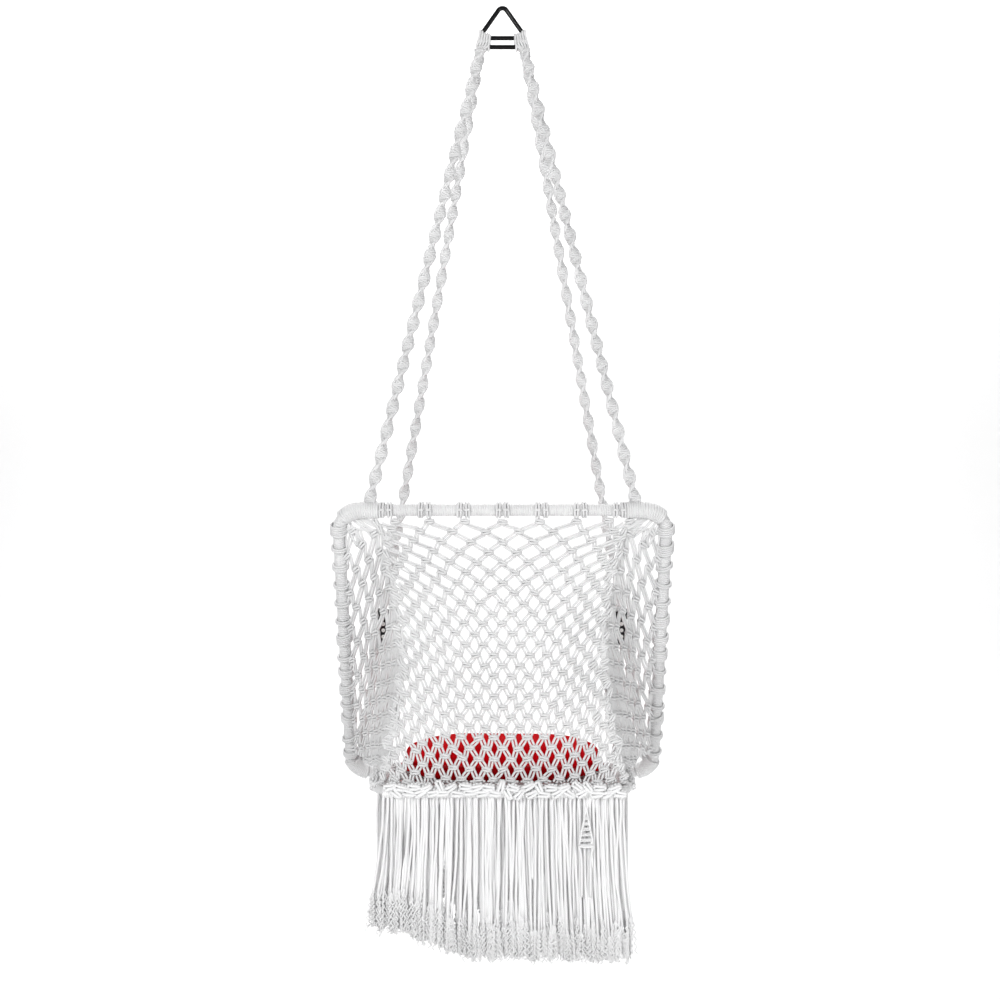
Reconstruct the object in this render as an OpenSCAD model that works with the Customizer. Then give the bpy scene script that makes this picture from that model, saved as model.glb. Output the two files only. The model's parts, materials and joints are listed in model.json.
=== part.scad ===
// Knotted-cord toddler swing: a tilted square frame with a net seat bag, hung by four ropes from a
// wire triangle. Millimetres. The origin is the inside of the triangle's apex, where a hook bears.
// +Z is up, +Y is the open front of the seat, and left is -X.

/* [Hanger] */
// Radius of the black hanger wire
wire_r = 2.8; // [2:0.1:3]
// Half the width of the triangle at its base, between wire centres
base_half = 29; // [28:1:34]
// Height of the triangle from its base to its sharp apex, between wire centres
triangle_h = 41; // [38:1:50]
// Bend radius of the apex
apex_bend = 6; // [5:0.5:7]
// Bend radius of the two base corners
base_bend = 4.5; // [3.5:0.5:5]
// Distance of the spreader bar below the triangle's base
spreader_drop = 11; // [9:0.5:14]
// Half the length of the spreader bar
spreader_half = 29; // [28:1:34]

/* [Frame] */
// Side of the square frame, between bar centres
frame_side = 388; // [360:2:420]
// Bend radius of the frame's corners, to the bar's centre
frame_bend = 28; // [24:1:36]
// Radius of the steel tube inside the frame
tube_r = 5; // [4:0.5:5.5]
// Wall of the steel tube
tube_wall = 1.2; // [1:0.1:2]
// Radius of the frame with its cord wrapping
bar_r = 7.5; // [7:0.25:8]
// Lean of the frame from upright, with the low bar in front
frame_tilt = 29.3; // [25:0.1:34]
// Height of the frame's top bar below the hang point
top_drop = 610; // [560:2:680]
// Distance of the top bar behind the hang point
top_back = 76.5; // [66:0.1:86]

/* [Ropes] */
// Radius of a suspension rope
rope_r = 7; // [6:0.25:7]
// Distance of a rear rope's foot from the middle of the top bar
rear_foot_x = 159; // [150:1:160]
// Radius of the cord lashings on the frame
lashing_r = 10.5; // [10:0.25:12]

/* [Seat] */
// Width of the seat ring, between bar centres
seat_w = 290; // [280:2:300]
// Depth of the seat ring, between bar centres
seat_d = 190; // [184:1:192]
// Bend radius of the seat ring's corners, to the bar's centre
seat_bend = 22; // [18:1:26]
// Radius of the steel rod inside the seat ring
rod_r = 3; // [2.5:0.5:3.5]
// Radius of the seat ring with its cord wrapping
seat_bar_r = 5; // [4.5:0.25:5.5]
// Height of the seat ring below the frame's top bar
seat_drop = 327.5; // [320:0.5:332]
// Distance of the seat ring's rear bar behind the frame's top bar
seat_back = 20; // [14:1:24]

/* [Net] */
// Thickness of the net
net_t = 3; // [2:0.5:4]
// Half the width of the back panel at its top edge
back_half_top = 148; // [140:1:150]
// How far each side of the back panel draws in at mid height
back_waist = 26; // [16:1:28]
// Number of cord loops that hang the net from the top bar
header_count = 7; // [5:1:9]
// Number of cord loops that hold the net on each side bar
side_loop_count = 11; // [8:1:12]

/* [Fringe] */
// Length of the fringe below the seat ring's centre, at its short left end
fringe_short = 170; // [150:2:180]
// Length of the fringe below the seat ring's centre, at its long right end
fringe_long = 204; // [184:2:204]
// Thickness of a fringe curtain
fringe_t = 6; // [4:0.5:7]
// Distance of the knotted triangle to the right of the seat's middle
motif_x = 97; // [60:1:105]

/* [Cushion] */
// Width of the cushion
cushion_w = 250; // [230:2:250]
// Depth of the cushion
cushion_d = 165; // [150:1:168]
// Thickness of the cushion
cushion_h = 46; // [36:1:50]
// Thickness of the cushion's cover
cover_t = 1.2; // [1:0.1:2]

/* [Belt tabs] */
// Height of the belt tabs' rivets below the hang point
tab_drop = 744; // [720:2:780]
// Length of a belt tab below its rivet
tab_len = 38; // [30:1:44]
// Width of a belt tab
tab_w = 10; // [8:0.5:12]
// Thickness of a belt tab
tab_t = 3; // [2:0.5:3.5]

/* [Hidden] */
$fn = 48;
hull_fn = 28;
gap = 0.3;
// A bend is a hair thicker than the straight that ends just inside it.
seam = 0.2;
seam_step = 0.04;
cord_colour = "whitesmoke";
metal_colour = "#141414";
cushion_colour = "#c8000a";
webbing_colour = "#1c1c1c";

// The triangle's own measures.
apex_half_angle = atan(base_half / triangle_h);
base_angle = 90 - apex_half_angle;
apex_z = wire_r + apex_bend * (1 / sin(apex_half_angle) - 1);
base_z = apex_z - triangle_h;
spreader_z = base_z - spreader_drop;
leg = [base_half, base_z - apex_z] / norm([base_half, base_z - apex_z]);

// The ropes run from the two knots under the triangle to the frame's corners.
knot_x = 29;
knot_z = spreader_z - 15;
rope_start_y = 7.4;
loop_x0 = 11;
loop_x1 = 20.5;
loop_r = 5.5;

// The frame's plane: a point s below the top bar's centre, measured down the slope.
top_y = -top_back;
top_z = -top_drop;
function on_slope(x, s) = [x, top_y + s * sin(frame_tilt), top_z - s * cos(frame_tilt)];
side_x = frame_side / 2;
corner_mid = frame_bend * (1 - cos(45));
rear_foot = on_slope(rear_foot_x, 0);
front_foot = on_slope(side_x - corner_mid, frame_side - corner_mid);

// The seat ring is level.
seat_z = top_z - seat_drop;
seat_y0 = top_y - seat_back;
seat_y1 = seat_y0 + seat_d;
seat_x = seat_w / 2;
sleeve_r = seat_bar_r + 2.3;
sleeve_bore = seat_bar_r + gap;

// The net's top edge hangs just under the header loops, and its lower edge stops just above the ring.
header_r = bar_r + 2;
net_top_z = top_z - header_r - gap;
net_low_z = seat_z + sleeve_r + gap;
net_floor_z = seat_z + 3;
side_s0 = 24;
side_s1 = frame_side - 26;

// The front rope at the belt tabs' height.
front_top = [knot_x, rope_start_y, knot_z];
front_run = front_foot - front_top;
front_dir = front_run / norm(front_run);
tab_at = front_top + front_run * ((tab_drop + knot_z) / -front_run.z);
band_r = rope_r + 2.2;
rivet_r = 1.5;
rivet_head_r = 3;
tab_y = tab_at.y - band_r - 1.2;

// A round bar from p to q, hollow when bore is given.
module rod(p, q, r, bore = 0) {
    d = q - p;
    h = norm(d);
    translate(p) rotate([0, acos(d.z / h), atan2(d.y, d.x)]) difference() {
        cylinder(h = h, r = r);
        if (bore > 0) translate([0, 0, -1]) cylinder(h = h + 2, r = bore);
    }
}

// A bend in the XY plane about c, centred on the direction mid and span degrees long.
module bend(c, bend_r, mid, span, r, bore = 0) {
    translate([c.x, c.y, 0]) rotate(mid - span / 2) rotate_extrude(angle = span)
        translate([bend_r, 0]) difference() {
            circle(r);
            if (bore > 0) circle(bore);
        }
}

// The right-hand half of a mirrored pair, or its mirror image on the left.
module on_side(left) {
    if (left) mirror([1, 0, 0]) children();
    else children();
}

// The frame's own plane: X across, Y up the slope from the low bar to the top bar.
module frame_plane() {
    translate([0, top_y, top_z]) rotate([90 + frame_tilt, 0, 0]) children();
}

// The seat ring's plane: X across, Y to the front, with the rear bar at y = 0.
module seat_plane() {
    translate([0, seat_y0, seat_z]) children();
}

// A rounded rectangle of bar in the XY plane, from y = 0 up to y = d.
module ring(w, d, corner, r, bore = 0) {
    x = w / 2;
    for (y = [0, d]) rod([-x + corner, y, 0], [x - corner, y, 0], r, bore);
    for (side = [-x, x]) rod([side, corner, 0], [side, d - corner, 0], r, bore);
    for (a = [0, 1], b = [0, 1])
        bend([(2 * a - 1) * (x - corner), b ? d - corner : corner, 0], corner,
            a ? (b ? 45 : 315) : (b ? 135 : 225), 90, r, bore);
}

module hanger_triangle() color(metal_colour) rotate([90, 0, 0]) {
    apex_run = apex_bend / tan(apex_half_angle);
    base_run = base_bend / tan(base_angle / 2);
    base_span = 180 - base_angle;
    p = [0, apex_z] + leg * (apex_run - seam);
    q = [base_half, base_z] - leg * (base_run - seam);
    r = wire_r + seam_step;
    for (side = [-1, 1]) {
        rod([side * p.x, p.y, 0], [side * q.x, q.y, 0], wire_r);
        bend([side * (base_half - base_run), base_z + base_bend], base_bend,
            -90 + side * base_span / 2, base_span, r);
    }
    half = base_half - base_run + seam;
    rod([-half, base_z, 0], [half, base_z, 0], wire_r);
    bend([0, wire_r - apex_bend], apex_bend, 90, 180 - 2 * apex_half_angle, r);
}

module spreader_bar() color(metal_colour)
    rod([-spreader_half, 0, spreader_z], [spreader_half, 0, spreader_z], wire_r);

// The ropes' ends: a loop that turns on the triangle's base, and the knot that holds the spreader.
module top_loop(left) color(cord_colour) on_side(left) difference() {
    union() {
        rod([loop_x0, 0, base_z], [loop_x1, 0, base_z], loop_r);
        hull() {
            translate([(loop_x0 + loop_x1) / 2 + 1, 0, base_z - loop_r - 1.5])
                cube([loop_x1 - loop_x0 + 2, 9, 3.6], center = true);
            for (y = [-rope_start_y, rope_start_y])
                translate([knot_x, y, knot_z + rope_r]) sphere(rope_r, $fn = hull_fn);
        }
    }
    rod([0, 0, base_z], [base_half, 0, base_z], wire_r + gap);
    rod([0, 0, spreader_z], [spreader_half, 0, spreader_z], wire_r);
    translate([0, -40, knot_z - 40]) cube([60, 80, 40]);
}

// A suspension rope, cut to sit on its lashing at the frame.
module rope_rear(left) color(cord_colour) on_side(left) difference() {
    rod([knot_x, -rope_start_y, knot_z - gap], rear_foot, rope_r);
    rod(rear_foot - [40, 0, 0], rear_foot + [40, 0, 0], lashing_r + gap);
    translate([0, -40, knot_z - gap / 2]) cube([60, 80, 40]);
}

module rope_front(left) color(cord_colour) on_side(left) difference() {
    rod([knot_x, rope_start_y, knot_z - gap], front_foot, rope_r);
    frame_plane() bend([side_x - frame_bend, -frame_side + frame_bend], frame_bend, 315, 120,
        lashing_r + gap);
    translate([0, -40, knot_z - gap / 2]) cube([60, 80, 40]);
}

// Cord lashings that tie the ropes to the frame's corners.
module lashing_rear(left) color(cord_colour) on_side(left) frame_plane() {
    straight_end = side_x - frame_bend;
    rod([straight_end - 20, 0, 0], [straight_end + seam, 0, 0], lashing_r, bar_r);
    bend([straight_end, -frame_bend], frame_bend, 90 - 22.5, 45, lashing_r + seam_step, bar_r + seam_step);
}

module lashing_front(left) color(cord_colour) on_side(left) frame_plane()
    bend([side_x - frame_bend, -frame_side + frame_bend], frame_bend, 315, 60, lashing_r, bar_r);

module frame_tube() color("silver") frame_plane() translate([0, -frame_side, 0])
    ring(frame_side, frame_side, frame_bend, tube_r, tube_r - tube_wall);

// The cord wrapping, in four lengths. The top and bottom ones take the corners.
module frame_wrap_end(y, inward) color(cord_colour) frame_plane() {
    x = side_x - frame_bend;
    rod([-x, y, 0], [x, y, 0], bar_r, tube_r);
    for (side = [-1, 1])
        bend([side * x, y + inward * frame_bend], frame_bend,
            inward < 0 ? 90 - side * 45 : 270 + side * 45, 90, bar_r, tube_r);
}

module frame_wrap_side(left) color(cord_colour) on_side(left) frame_plane()
    rod([side_x, -frame_bend, 0], [side_x, -frame_side + frame_bend, 0], bar_r, tube_r);

module seat_ring() color("silver") seat_plane() ring(seat_w, seat_d, seat_bend, rod_r);

module seat_wrap_end(y, inward) color(cord_colour) seat_plane() {
    x = seat_x - seat_bend;
    rod([-x, y, 0], [x, y, 0], seat_bar_r, rod_r);
    for (side = [-1, 1])
        bend([side * x, y + inward * seat_bend], seat_bend,
            inward < 0 ? 90 - side * 45 : 270 + side * 45, 90, seat_bar_r, rod_r);
}

module seat_wrap_side(left) color(cord_colour) on_side(left) seat_plane()
    rod([seat_x, seat_bend, 0], [seat_x, seat_d - seat_bend, 0], seat_bar_r, rod_r);

// A tie between the seat ring's front corner and the frame's low bar.
module seat_lashing(left) color(cord_colour) on_side(left) {
    x = seat_x - seat_bend - 5;
    low = on_slope(0, frame_side);
    difference() {
        hull() {
            rod([x - 4, seat_y1, seat_z], [x + 4, seat_y1, seat_z], seat_bar_r + 2);
            rod([x - 4, low.y, low.z], [x + 4, low.y, low.z], bar_r + 2);
        }
        rod([x - 6, seat_y1, seat_z], [x + 6, seat_y1, seat_z], seat_bar_r);
        rod([x - 6, low.y, low.z], [x + 6, low.y, low.z], bar_r);
    }
}

// Cord loops that carry the net on the top bar and on the side bars.
module header_loops() color(cord_colour) frame_plane() {
    pitch = 2 * (back_half_top - 10) / (header_count - 1);
    for (i = [0 : header_count - 1])
        translate([-back_half_top + 10 + i * pitch, 0, 0])
            rod([-4, 0, 0], [4, 0, 0], header_r, bar_r);
}

module side_loops(left) color(cord_colour) on_side(left) frame_plane() {
    pitch = (side_s1 - side_s0 - 20) / (side_loop_count - 1);
    for (i = [0 : side_loop_count - 1])
        translate([side_x, -side_s0 - 10 - i * pitch, 0])
            rod([0, -4, 0], [0, 4, 0], header_r, bar_r);
}

// Half the back panel's width at t, from 0 at its top to 1 at the seat ring.
function waist(t) = back_half_top + t * (seat_x - 2 - back_half_top) - back_waist * sin(180 * t);

// The two curved sheets of the net: u runs across and v runs down.
back_sheet = function (u, v) [
    (2 * u - 1) * waist(v),
    top_y - v * seat_back,
    net_top_z + v * (net_low_z - net_top_z)
];
side_sheet = function (u, v) let (
    inner = [waist(v) + 3.4, top_y - v * seat_back, net_top_z + v * (net_low_z - net_top_z)],
    outer = on_slope(side_x - header_r - gap, side_s0 + v * (side_s1 - side_s0)),
    flare = (side_x - seat_x) * v * (pow(u, 3) - u)
) (1 - u) * inner + u * outer + [flare, 0, 0];

// A closed sheet, shift thick, over the surface f. nu and nv are its numbers of strips.
module sheet_solid(f, nu, nv, shift) {
    near = [for (i = [0 : nu], j = [0 : nv]) f(i / nu, j / nv)];
    count = len(near);
    far = [for (p = near) p + shift];
    function at(i, j) = i * (nv + 1) + j;
    faces = concat(
        [for (i = [0 : nu - 1], j = [0 : nv - 1]) each [
            [at(i, j), at(i + 1, j), at(i + 1, j + 1)],
            [at(i, j), at(i + 1, j + 1), at(i, j + 1)],
            [count + at(i, j), count + at(i + 1, j + 1), count + at(i + 1, j)],
            [count + at(i, j), count + at(i, j + 1), count + at(i + 1, j + 1)]]],
        [for (i = [0 : nu - 1]) each [
            [at(i, 0), count + at(i, 0), count + at(i + 1, 0)],
            [at(i, 0), count + at(i + 1, 0), at(i + 1, 0)],
            [at(i, nv), count + at(i + 1, nv), count + at(i, nv)],
            [at(i, nv), at(i + 1, nv), count + at(i + 1, nv)]]],
        [for (j = [0 : nv - 1]) each [
            [at(0, j), at(0, j + 1), count + at(0, j + 1)],
            [at(0, j), count + at(0, j + 1), count + at(0, j)],
            [at(nu, j), count + at(nu, j + 1), at(nu, j + 1)],
            [at(nu, j), count + at(nu, j), count + at(nu, j + 1)]]]);
    polyhedron(concat(near, far), faces);
}

module net_back() color(cord_colour) sheet_solid(back_sheet, 8, 12, [0, net_t, 0]);

module net_side(left) color(cord_colour) on_side(left)
    sheet_solid(side_sheet, 8, 12, net_t * [-0.86, 0.5, 0]);

// The knotted floor of the seat, inside the seat ring.
module net_seat() color(cord_colour) seat_plane() {
    inset = sleeve_r + 0.5;
    r = seat_bend - seat_bar_r;
    translate([-seat_x + inset, inset, 0]) linear_extrude(net_t) {
        w = seat_w - 2 * inset;
        d = seat_d - 2 * inset;
        translate([r, 0]) square([w - 2 * r, d]);
        translate([0, r]) square([w, d - 2 * r]);
        for (x = [r, w - r], y = [r, d - r]) translate([x, y]) circle(r);
    }
}

// A fringe curtain under a bar along X, half as wide as half, with the sleeve of knots that turns on
// the bar. Its lower edge runs from length a on the left to length b on the right.
module curtain(half, a, b) {
    rod([-half, 0, 0], [half, 0, 0], sleeve_r, sleeve_bore);
    rotate([90, 0, 0]) translate([0, 0, -fringe_t / 2]) linear_extrude(fringe_t)
        polygon([[-half, -sleeve_bore - 1], [half, -sleeve_bore - 1], [half, -b], [-half, -a]]);
}

// The fringe's length where a curtain's end stands at x.
function fringe_at(x) = fringe_short + (fringe_long - fringe_short) * (x + seat_x) / seat_w;
rear_half = seat_x - seat_bend - 2;
side_half = seat_d / 2 - seat_bend - 2;

module fringe_rear() color(cord_colour) seat_plane()
    curtain(rear_half, fringe_at(-rear_half), fringe_at(rear_half));

module fringe_front() color(cord_colour) seat_plane() translate([0, seat_d, 0])
    curtain(rear_half - 12, fringe_at(-rear_half) - 8, fringe_at(rear_half) - 8);

module fringe_side(left) color(cord_colour) seat_plane() {
    length = fringe_at(left ? -seat_x : seat_x) - 4;
    translate([left ? -seat_x : seat_x, seat_d / 2, 0]) rotate(90) curtain(side_half, length, length);
}

// A small triangle of knots hung among the rear strands on the right.
module fringe_motif() color(cord_colour) seat_plane()
    translate([motif_x, -fringe_t / 2, 0]) rotate([90, 0, 0]) linear_extrude(3)
        polygon([[-2, -24], [2, -24], [9, -62], [-9, -62]]);

module cushion_form(inset) {
    r = 20 - inset;
    x = cushion_w / 2 - 20;
    y = cushion_d / 2 - 20;
    hull() for (a = [-x, x], b = [-y, y], c = [20, cushion_h - 20])
        translate([a, b, c]) sphere(r, $fn = hull_fn);
}

module cushion_place() translate([0, seat_y0 + sleeve_r + 3.5 + cushion_d / 2, net_floor_z + gap])
    children();

module cushion_cover() color(cushion_colour) cushion_place() difference() {
    cushion_form(0);
    cushion_form(cover_t);
}

module cushion_filling() color("ivory") cushion_place() cushion_form(cover_t);

// A webbing band round the front rope, its rivet, and the tab that hangs on the rivet.
module belt_band(left) color(webbing_colour) on_side(left)
    rod(tab_at - 6 * front_dir, tab_at + 6 * front_dir, band_r, rope_r + gap / 3);

module belt_rivet(left) color("dimgray") on_side(left) difference() {
    union() {
        rod([tab_at.x, tab_y - tab_t - 0.4, tab_at.z], [tab_at.x, tab_at.y, tab_at.z], rivet_r);
        rod([tab_at.x, tab_y - tab_t - 1.8, tab_at.z], [tab_at.x, tab_y - tab_t - 0.3, tab_at.z],
            rivet_head_r);
    }
    rod(tab_at - 9 * front_dir, tab_at + 9 * front_dir, band_r);
}

module belt_tab(left) color(webbing_colour) on_side(left)
    translate([tab_at.x, tab_y, tab_at.z]) rotate([90, 0, 0]) difference() {
        linear_extrude(tab_t) {
            circle(tab_w / 2);
            translate([0, -tab_len + tab_w / 2]) circle(tab_w / 2);
            translate([-tab_w / 2, -tab_len + tab_w / 2]) square([tab_w, tab_len - tab_w / 2]);
        }
        translate([0, 0, -1]) cylinder(h = tab_t + 2, r = rivet_r + 0.1);
        for (i = [1 : 3]) translate([0, -i * 8 - 3, -1]) cylinder(h = tab_t + 2, r = 1.6);
    }

module belt_eyelets(left) color("white") on_side(left)
    translate([tab_at.x, tab_y, tab_at.z]) rotate([90, 0, 0]) for (i = [1 : 3])
        translate([0, -i * 8 - 3, -0.4]) difference() {
            union() {
                cylinder(h = tab_t + 0.8, r = 1.6);
                cylinder(h = 0.4, r = 2.4);
                translate([0, 0, tab_t + 0.4]) cylinder(h = 0.4, r = 2.4);
            }
            translate([0, 0, -1]) cylinder(h = tab_t + 3, r = 0.9);
        }

hanger_triangle();
spreader_bar();
top_loop(true);  // top_loop_left
top_loop(false);  // top_loop_right
rope_rear(true);  // rope_rear_left
rope_rear(false);  // rope_rear_right
rope_front(true);  // rope_front_left
rope_front(false);  // rope_front_right
lashing_rear(true);  // lashing_rear_left
lashing_rear(false);  // lashing_rear_right
lashing_front(true);  // lashing_front_left
lashing_front(false);  // lashing_front_right
frame_tube();
frame_wrap_end(0, -1);  // frame_wrap_top
frame_wrap_side(true);  // frame_wrap_left
frame_wrap_side(false);  // frame_wrap_right
frame_wrap_end(-frame_side, 1);  // frame_wrap_bottom
seat_ring();
seat_wrap_end(0, 1);  // seat_wrap_rear
seat_wrap_side(true);  // seat_wrap_left
seat_wrap_side(false);  // seat_wrap_right
seat_wrap_end(seat_d, -1);  // seat_wrap_front
seat_lashing(true);  // seat_lashing_left
seat_lashing(false);  // seat_lashing_right
header_loops();
side_loops(true);  // side_loops_left
side_loops(false);  // side_loops_right
net_back();
net_side(true);  // net_left
net_side(false);  // net_right
net_seat();
fringe_rear();
fringe_side(true);  // fringe_left
fringe_side(false);  // fringe_right
fringe_front();
fringe_motif();
cushion_cover();
cushion_filling();
belt_band(true);  // belt_band_left
belt_band(false);  // belt_band_right
belt_rivet(true);  // belt_rivet_left
belt_rivet(false);  // belt_rivet_right
belt_tab(true);  // belt_tab_left
belt_tab(false);  // belt_tab_right
belt_eyelets(true);  // belt_eyelets_left
belt_eyelets(false);  // belt_eyelets_right
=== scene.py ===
"""Looks of the knotted-cord toddler swing: every cord is a real tube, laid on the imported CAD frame.

Metres, in the CAD's frame: the origin is where the hook bears, +Z up, +Y the open front, left -X.
"""

import json
import math

import bmesh
import bpy
import numpy as np
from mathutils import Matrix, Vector


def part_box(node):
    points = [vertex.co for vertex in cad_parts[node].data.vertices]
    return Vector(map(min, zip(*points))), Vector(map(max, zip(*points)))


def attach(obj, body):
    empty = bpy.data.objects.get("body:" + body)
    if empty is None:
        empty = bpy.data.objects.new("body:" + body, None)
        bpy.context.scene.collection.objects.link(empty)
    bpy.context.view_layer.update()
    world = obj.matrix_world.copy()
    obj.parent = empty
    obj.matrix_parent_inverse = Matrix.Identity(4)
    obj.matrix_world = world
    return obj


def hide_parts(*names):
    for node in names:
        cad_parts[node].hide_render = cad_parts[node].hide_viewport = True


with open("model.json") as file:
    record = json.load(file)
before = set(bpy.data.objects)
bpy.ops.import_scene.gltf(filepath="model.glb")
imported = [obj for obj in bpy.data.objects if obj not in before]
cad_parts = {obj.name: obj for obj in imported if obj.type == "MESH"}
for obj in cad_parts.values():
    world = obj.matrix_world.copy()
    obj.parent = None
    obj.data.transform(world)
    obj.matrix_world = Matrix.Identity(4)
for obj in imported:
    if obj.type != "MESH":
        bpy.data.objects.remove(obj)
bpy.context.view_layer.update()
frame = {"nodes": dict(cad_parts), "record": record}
rng = np.random.default_rng(7)

MM = 0.001
CORD = 1.35 * MM  # radius of the net's cord
X, Y, Z = np.eye(3)
SIDES = (("left", -1), ("right", 1))


# -------- places taken from the frame
JOINT = {j["name"]: j for j in frame["record"]["behaviour"]["joints"]}
BAR = 7.5 * MM  # radius of the wound frame
SEAT_BAR = 5 * MM  # radius of the wound seat ring
RING_ROD = 3 * MM
FRAME_BEND = 28 * MM
SEAT_BEND = 22 * MM

HINGE = np.array(JOINT["swing_hinge"]["pos_m"])
top_box = np.array(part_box("frame_wrap_top"))
low_box = np.array(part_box("frame_wrap_bottom"))
TOP_BAR = np.array([0, top_box[0][1] + BAR, top_box[1][2] - BAR])
LOW_BAR = np.array([0, low_box[1][1] - BAR, low_box[0][2] + BAR])
SLOPE = (LOW_BAR - TOP_BAR) / np.linalg.norm(LOW_BAR - TOP_BAR)
FRAME_SIDE = float(np.linalg.norm(LOW_BAR - TOP_BAR))
HALF = float(top_box[1][0]) - BAR
FRAME_NORMAL = np.cross(X, SLOPE)

seat_box = np.array(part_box("seat_ring"))
SEAT_HALF = float(seat_box[1][0]) - RING_ROD
SEAT_REAR = float(seat_box[0][1]) + RING_ROD
SEAT_FRONT = float(seat_box[1][1]) - RING_ROD
SEAT_Z = float(seat_box[0][2]) + RING_ROD
SEAT_DEPTH = SEAT_FRONT - SEAT_REAR

back_box = np.array(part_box("net_back"))
NET_TOP, NET_LOW = float(back_box[1][2]), float(back_box[0][2])
NET_DROP = NET_TOP - NET_LOW
BACK_HALF = 148 * MM  # half the back panel's width at its top
WAIST = 26 * MM  # how far its edges curve inwards halfway down

SPREADER = np.array(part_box("spreader_bar")).mean(axis=0)
KNOT = np.array([29 * MM, 7.4 * MM, HINGE[2] - 26 * MM])  # where the right front rope starts
REAR_FOOT_X = 159 * MM  # of the right rear rope's foot, on the top bar


def on_slope(x, s):
    """The frame's point x across and s down the slope from the top bar."""
    return TOP_BAR + np.multiply.outer(np.asarray(x, float), X) + np.multiply.outer(
        np.asarray(s, float), SLOPE)


# -------- camera, light and stage
CAMERA_BACK = 1.97  # from the top bar to the camera
CAMERA_DROP = 598.1 * MM
CAMERA_X = -3 * MM
LENS, SENSOR = 60.3, 36.0


def make_camera():
    data = bpy.data.cameras.new("camera")
    data.lens, data.sensor_width = LENS, SENSOR
    camera = bpy.data.objects.new("camera", data)
    camera.location = (CAMERA_X, TOP_BAR[1] - CAMERA_BACK, -CAMERA_DROP)
    camera.rotation_euler = (math.pi / 2, 0, 0)
    bpy.context.collection.objects.link(camera)
    bpy.context.scene.camera = camera


def area_light(name, place, target, size, power):
    data = bpy.data.lights.new(name, "AREA")
    data.shape, data.size, data.energy = "DISK", size, power
    lamp = bpy.data.objects.new(name, data)
    lamp.location = place
    direction = Vector(target) - Vector(place)
    lamp.rotation_euler = direction.to_track_quat("-Z", "Y").to_euler()
    lamp.visible_camera = False
    bpy.context.collection.objects.link(lamp)


def make_stage():
    """A pale floor that curves up into a pale wall behind the swing."""
    floor_z, wall_y, bend, reach = -1.6, 3.2, 1.2, 9.0
    profile = [(-reach, floor_z), (wall_y - bend, floor_z)]
    for i in range(1, 13):
        a = math.pi / 2 * i / 12
        profile.append((wall_y - bend + bend * math.sin(a), floor_z + bend * (1 - math.cos(a))))
    profile.append((wall_y, 6.0))
    mesh = bpy.data.meshes.new("backdrop")
    verts = [(sx * reach, y, z) for y, z in profile for sx in (-1, 1)]
    faces = [(2 * i, 2 * i + 1, 2 * i + 3, 2 * i + 2) for i in range(len(profile) - 1)]
    mesh.from_pydata(verts, [], faces)
    mesh.polygons.foreach_set("use_smooth", [True] * len(mesh.polygons))
    stage = bpy.data.objects.new("backdrop", mesh)
    bpy.context.collection.objects.link(stage)
    mesh.materials.append(plain_stage_material())


WORLD_STRENGTH = 0.35
AIM = (0, 0, -0.65)  # the middle of the swing
LAMPS = {  # place, target, size and power
    "key": ((-1.25, -2.4, 0.2), AIM, 0.8, 40),
    "fill": ((1.6, -2.1, -0.9), AIM, 0.8, 20),
    "back": ((0.9, 2.4, 0.6), AIM, 0.9, 10),
    "wall": ((0, 1.5, 2.2), (0, 3.2, -0.6), 2.5, 98)}


def make_light():
    world = bpy.data.worlds.new("studio")
    world.use_nodes = True
    background = world.node_tree.nodes["Background"]
    background.inputs["Color"].default_value = (1, 1, 1, 1)
    background.inputs["Strength"].default_value = WORLD_STRENGTH
    bpy.context.scene.world = world
    for name, settings in LAMPS.items():
        area_light(name, *settings)
    bpy.context.scene.view_settings.view_transform = "Standard"
    bpy.context.scene.view_settings.look = "None"


# -------- materials
def node(tree, kind, inputs=None, **settings):
    """Adds a shader node. An input is a value or another node's output socket."""
    made = tree.nodes.new(kind)
    for key, value in settings.items():
        setattr(made, key, value)
    for key, value in (inputs or {}).items():
        if isinstance(value, bpy.types.NodeSocket):
            tree.links.new(value, made.inputs[key])
        else:
            made.inputs[key].default_value = value
    return made


def maths(tree, operation, a, b=0.0, c=None):
    inputs = {0: a, 1: b} if c is None else {0: a, 1: b, 2: c}
    return node(tree, "ShaderNodeMath", inputs, operation=operation).outputs[0]


def new_material(name, **sockets):
    """A material's tree and its Principled node, whose plain sockets are set directly."""
    material = bpy.data.materials.new(name)
    material.use_nodes = True
    tree = material.node_tree
    shader = tree.nodes["Principled BSDF"]
    for key, value in sockets.items():
        shader.inputs[key.replace("_", " ")].default_value = value
    return material, tree, shader


def tinted(tree, low, high, factor):
    """A colour between low and high by a factor socket."""
    ramp = node(tree, "ShaderNodeValToRGB", {"Fac": factor})
    ramp.color_ramp.elements[0].color = (*low, 1)
    ramp.color_ramp.elements[1].color = (*high, 1)
    return ramp.outputs["Color"]


def bump(tree, height, distance, strength=1.0):
    return node(tree, "ShaderNodeBump", {"Height": height, "Distance": distance,
                                         "Strength": strength}).outputs["Normal"]


def noise(tree, scale, detail=2.0):
    place = node(tree, "ShaderNodeTexCoord").outputs["Object"]
    inputs = {"Vector": place, "Scale": scale, "Detail": detail}
    return node(tree, "ShaderNodeTexNoise", inputs).outputs["Fac"]


def plain_stage_material():
    material, tree, shader = new_material("stage", Roughness=0.9)
    tone = tinted(tree, (0.9, 0.9, 0.9), (0.94, 0.94, 0.94), noise(tree, 0.6))
    tree.links.new(tone, shader.inputs["Base Color"])
    return material


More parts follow.
